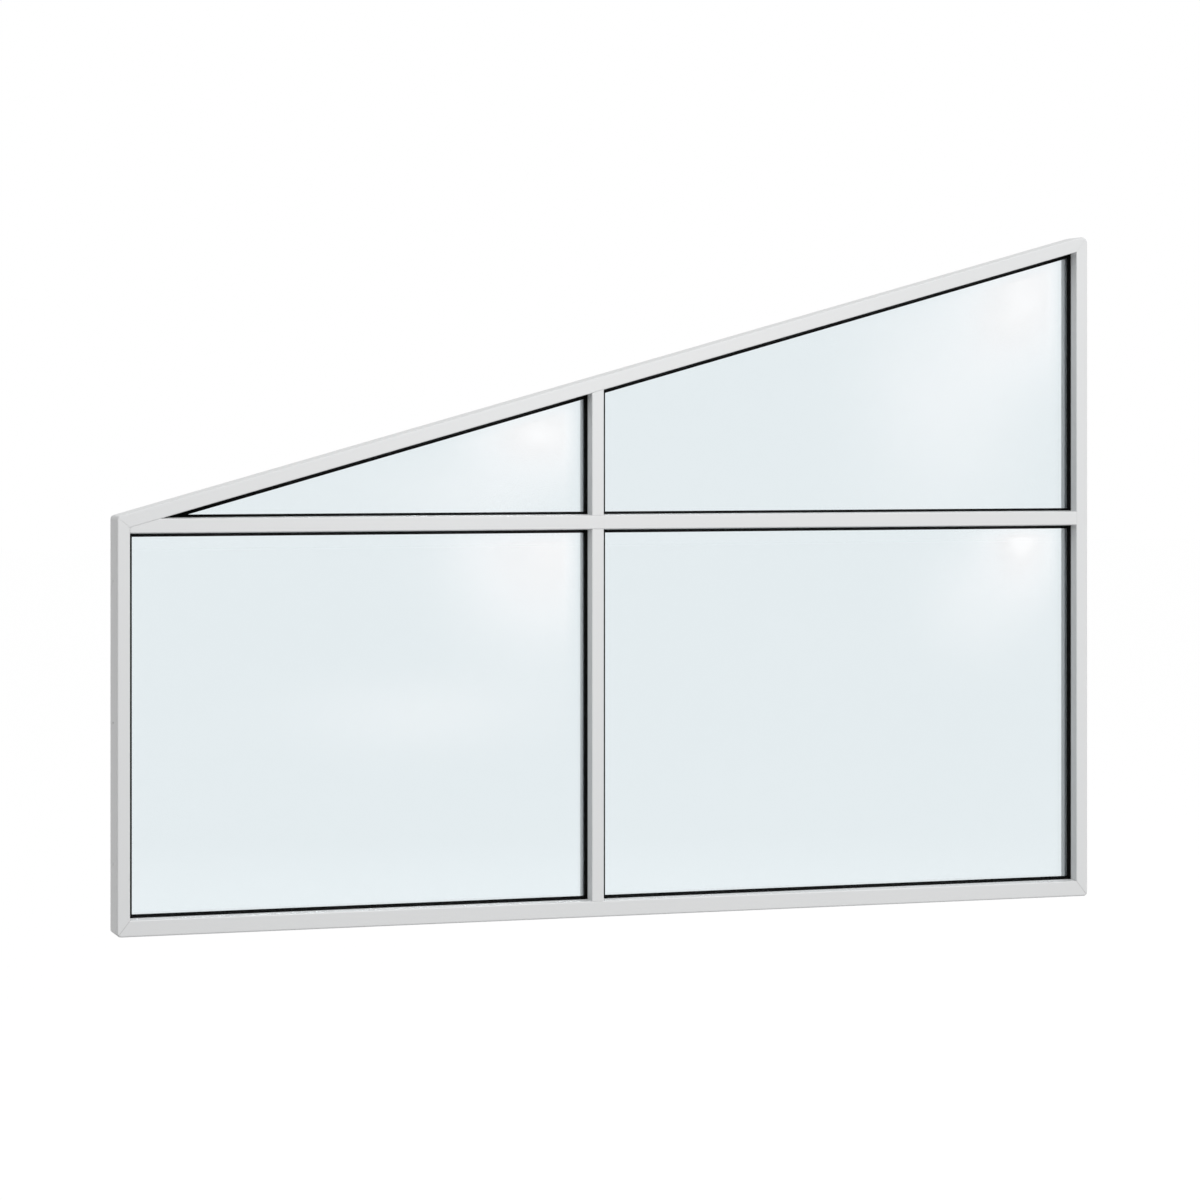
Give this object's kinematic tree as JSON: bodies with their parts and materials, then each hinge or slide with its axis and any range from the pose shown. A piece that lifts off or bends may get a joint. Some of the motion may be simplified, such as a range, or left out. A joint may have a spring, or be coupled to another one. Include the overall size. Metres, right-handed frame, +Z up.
{
  "type": "fixed window with raked head",
  "caption": "Fixed aluminium window with a sloping head, divided by a transom and mullions into sealed panes; the pane at the low end runs to a sharp point.",
  "frame": {"origin": "middle of the underside of the bottom rail, in the plane where it stands on the wall", "axes": "+X along the window to the higher end, as seen from outside; +Y from outside to inside; +Z up"},
  "size_m": [3, 0.103, 2.0193],
  "materials": {
    "frame_paint": "satin light grey powder coat",
    "bead_paint": "satin light grey powder coat",
    "glass": "clear float glass",
    "gasket": "matt black",
    "edge_seal": "black spacer and sealant",
    "packer": "moulded, dark grey"
  },
  "bodies": {
    "root": {"bottom_rail": "frame_paint", "glass_packers": "packer", "head": "frame_paint", "left_jamb": "frame_paint", "lower_left_bottom_bead": "bead_paint", "lower_left_edge_seal": "edge_seal", "lower_left_inner_gasket": "gasket", "lower_left_inner_glass": "glass", "lower_left_left_bead": "bead_paint", "lower_left_outer_gasket": "gasket", "lower_left_outer_glass": "glass", "lower_left_right_bead": "bead_paint", "lower_left_top_bead": "bead_paint", "lower_mullion": "frame_paint", "lower_right_bottom_bead": "bead_paint", "lower_right_edge_seal": "edge_seal", "lower_right_inner_gasket": "gasket", "lower_right_inner_glass": "glass", "lower_right_left_bead": "bead_paint", "lower_right_outer_gasket": "gasket", "lower_right_outer_glass": "glass", "lower_right_right_bead": "bead_paint", "lower_right_top_bead": "bead_paint", "right_jamb": "frame_paint", "transom": "frame_paint", "upper_left_bottom_bead": "bead_paint", "upper_left_edge_seal": "edge_seal", "upper_left_inner_gasket": "gasket", "upper_left_inner_glass": "glass", "upper_left_outer_gasket": "gasket", "upper_left_outer_glass": "glass", "upper_left_right_bead": "bead_paint", "upper_left_top_bead": "bead_paint", "upper_mullion": "frame_paint", "upper_right_bottom_bead": "bead_paint", "upper_right_edge_seal": "edge_seal", "upper_right_inner_gasket": "gasket", "upper_right_inner_glass": "glass", "upper_right_left_bead": "bead_paint", "upper_right_outer_gasket": "gasket", "upper_right_outer_glass": "glass", "upper_right_right_bead": "bead_paint", "upper_right_top_bead": "bead_paint"}
  },
  "joints": []
}
